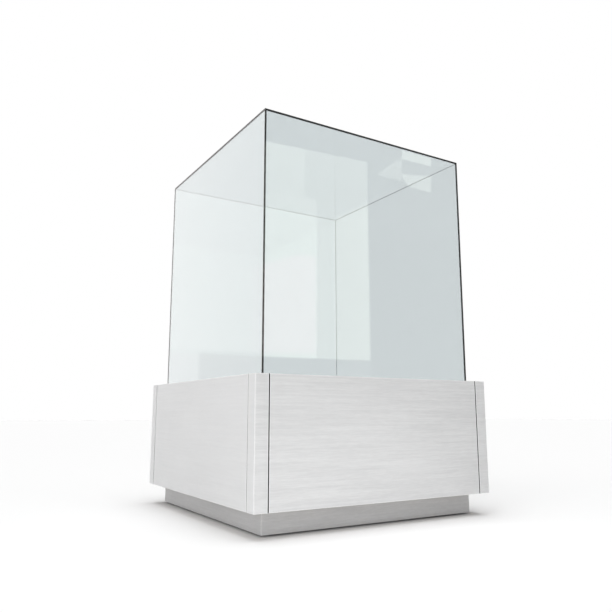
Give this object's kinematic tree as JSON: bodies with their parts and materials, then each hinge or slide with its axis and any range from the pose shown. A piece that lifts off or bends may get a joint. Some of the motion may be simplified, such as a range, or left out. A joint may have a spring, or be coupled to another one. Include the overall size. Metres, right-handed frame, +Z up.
{
  "type": "pedestal display case",
  "caption": "Square panelled plinth on a recessed kick base, with a lift-off bonded glass hood over the display deck and a push-to-open door to the store in the plinth.",
  "frame": {"origin": "on the floor under the middle of the case, feet wound in", "axes": "+Z up; the plinth door faces -Y; the sides of the case lie along X and Y"},
  "size_m": [0.8, 0.8, 1.13],
  "materials": {
    "white_panel": "whitewashed board with a fine horizontal grain, satin lacquer",
    "white_kick": "whitewashed board with a fine horizontal grain, satin lacquer",
    "white_deck": "matt white paint on board",
    "fibre_board": "raw fibre board",
    "plywood": "raw birch plywood",
    "black_steel": "matt black powder coat",
    "zinc_steel": "bright zinc plate",
    "screw_steel": "zinc-plated screws",
    "pivot_steel": "brushed stainless steel",
    "insert_brass": "turned brass",
    "black_foam": "closed-cell foam strip",
    "dark_plastic": "moulded, fine texture",
    "white_nylon": "turned nylon",
    "bumper_rubber": "soft rubber",
    "foot_plastic": "moulded, matt",
    "foot_steel": "zinc-plated thread",
    "black_bar": "black anodised",
    "clear_glass": "clear float glass with a faint green edge",
    "black_bond": "cured black structural silicone"
  },
  "bodies": {
    "plinth": {"post_front_left": "white_panel", "post_front_right": "white_panel", "post_back_right": "white_panel", "post_back_left": "white_panel", "panel_right": "white_panel", "panel_back": "white_panel", "panel_left": "white_panel", "kick_front": "white_kick", "kick_right": "white_kick", "kick_back": "white_kick", "kick_left": "white_kick", "display_deck": "white_deck", "rim_front": "white_deck", "rim_right": "white_deck", "rim_back": "white_deck", "rim_left": "white_deck", "floor_board": "fibre_board", "top_board": "fibre_board", "post_blocks": "plywood", "foot_blocks": "plywood", "upright_front_left": "black_steel", "upright_front_right": "black_steel", "upright_back_right": "black_steel", "upright_back_left": "black_steel", "bottom_rails": "black_steel", "top_rails": "black_steel", "panel_cleats": "zinc_steel", "frame_brackets": "zinc_steel", "kick_brackets": "zinc_steel", "bracket_screws": "screw_steel", "pivot_screws": "screw_steel", "pivot_plate_bottom": "pivot_steel", "pivot_plate_top": "pivot_steel", "pivot_pins": "pivot_steel", "foot_inserts": "insert_brass", "hood_gasket": "black_foam", "latch_housing": "dark_plastic", "door_bumpers": "bumper_rubber"},
    "door": {"door_panel": "white_panel", "pivot_bushes": "white_nylon", "strike_plate": "pivot_steel"},
    "latch": {"latch_plunger": "white_nylon"},
    "hood": {"hood_bars": "black_bar", "pane_front": "clear_glass", "pane_right": "clear_glass", "pane_back": "clear_glass", "pane_left": "clear_glass", "pane_top": "clear_glass", "corner_bonds": "black_bond", "top_bonds": "black_bond"},
    "foot_front_left": {"foot_pad_front_left": "foot_plastic", "foot_stem_front_left": "foot_steel"},
    "foot_front_right": {"foot_pad_front_right": "foot_plastic", "foot_stem_front_right": "foot_steel"},
    "foot_back_right": {"foot_pad_back_right": "foot_plastic", "foot_stem_back_right": "foot_steel"},
    "foot_back_left": {"foot_pad_back_left": "foot_plastic", "foot_stem_back_left": "foot_steel"}
  },
  "joints": [
    {"name": "hood_lift", "type": "slide", "parent": "plinth", "child": "hood", "axis": [0, 0, 1], "range_m": [0, 0.75]},
    {"name": "door_swing", "type": "hinge", "parent": "plinth", "child": "door", "pos_m": [0.34725, -0.393, 0.232], "axis": [0, 0, 1], "range_deg": [0, 90]},
    {"name": "latch_press", "type": "slide", "parent": "plinth", "child": "latch", "axis": [0, 1, 0], "range_m": [0, 0.003], "stiffness_N_per_m": 400, "springref_m": -0.008},
    {"name": "foot_wind_front_left", "type": "slide", "parent": "plinth", "child": "foot_front_left", "axis": [0, 0, -1], "range_m": [0, 0.015]},
    {"name": "foot_wind_front_right", "type": "slide", "parent": "plinth", "child": "foot_front_right", "axis": [0, 0, -1], "range_m": [0, 0.015]},
    {"name": "foot_wind_back_right", "type": "slide", "parent": "plinth", "child": "foot_back_right", "axis": [0, 0, -1], "range_m": [0, 0.015]},
    {"name": "foot_wind_back_left", "type": "slide", "parent": "plinth", "child": "foot_back_left", "axis": [0, 0, -1], "range_m": [0, 0.015]}
  ]
}
